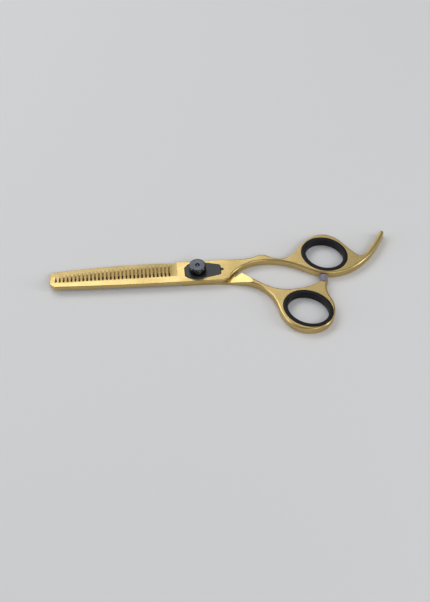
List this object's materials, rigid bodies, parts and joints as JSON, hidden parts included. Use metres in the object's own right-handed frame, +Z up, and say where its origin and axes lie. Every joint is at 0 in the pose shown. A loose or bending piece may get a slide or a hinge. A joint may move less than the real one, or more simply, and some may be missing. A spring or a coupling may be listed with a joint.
{
  "type": "thinning shears",
  "caption": "Hairdresser's thinning shears with a toothed blade over a plain blade, offset finger rings, a curved finger rest and a finger-turned pivot knob.",
  "frame": {"origin": "the pivot axis at the resting face, which is the outer face of the plain blade and the bolt's head", "axes": "+X from the pivot towards the finger rest, -X towards the tips, +Z up along the pivot axis towards the knob, +Y towards the plain blade's spine"},
  "size_m": [0.1687, 0.061, 0.008],
  "materials": {
    "gold_steel": "satin titanium-gold coating on steel",
    "black_rubber": "smooth matte",
    "grey_silicone": "smooth, slightly translucent",
    "gunmetal": "polished dark plating",
    "white_nylon": "smooth",
    "bronze": "sintered",
    "black_satin": "satin black coating",
    "bare_steel": "ground"
  },
  "bodies": {
    "finger_half": {"toothed_blade": "gold_steel", "finger_handle": "gold_steel", "finger_insert": "black_rubber", "pivot_bushing": "bronze", "tension_plate": "black_satin", "plate_pin": "black_satin"},
    "thumb_half": {"plain_blade": "gold_steel", "thumb_handle": "gold_steel", "thumb_insert": "black_rubber", "bumper": "grey_silicone", "pivot_bolt": "gunmetal", "glide_washer": "white_nylon", "click_disc": "bare_steel", "disc_spring": "bare_steel"},
    "knob_group": {"knob": "gunmetal", "set_screw": "black_satin", "click_ball": "bare_steel", "click_spring": "bare_steel"}
  },
  "joints": [
    {"name": "pivot", "type": "hinge", "parent": "finger_half", "child": "thumb_half", "pos_m": [0, 0, 0], "axis": [0, 0, -1], "range_deg": [0, 80]},
    {"name": "knob_turn", "type": "hinge", "parent": "thumb_half", "child": "knob_group", "pos_m": [0, 0, 0], "axis": [0, 0, 1], "range_deg": [-90, 90]}
  ]
}
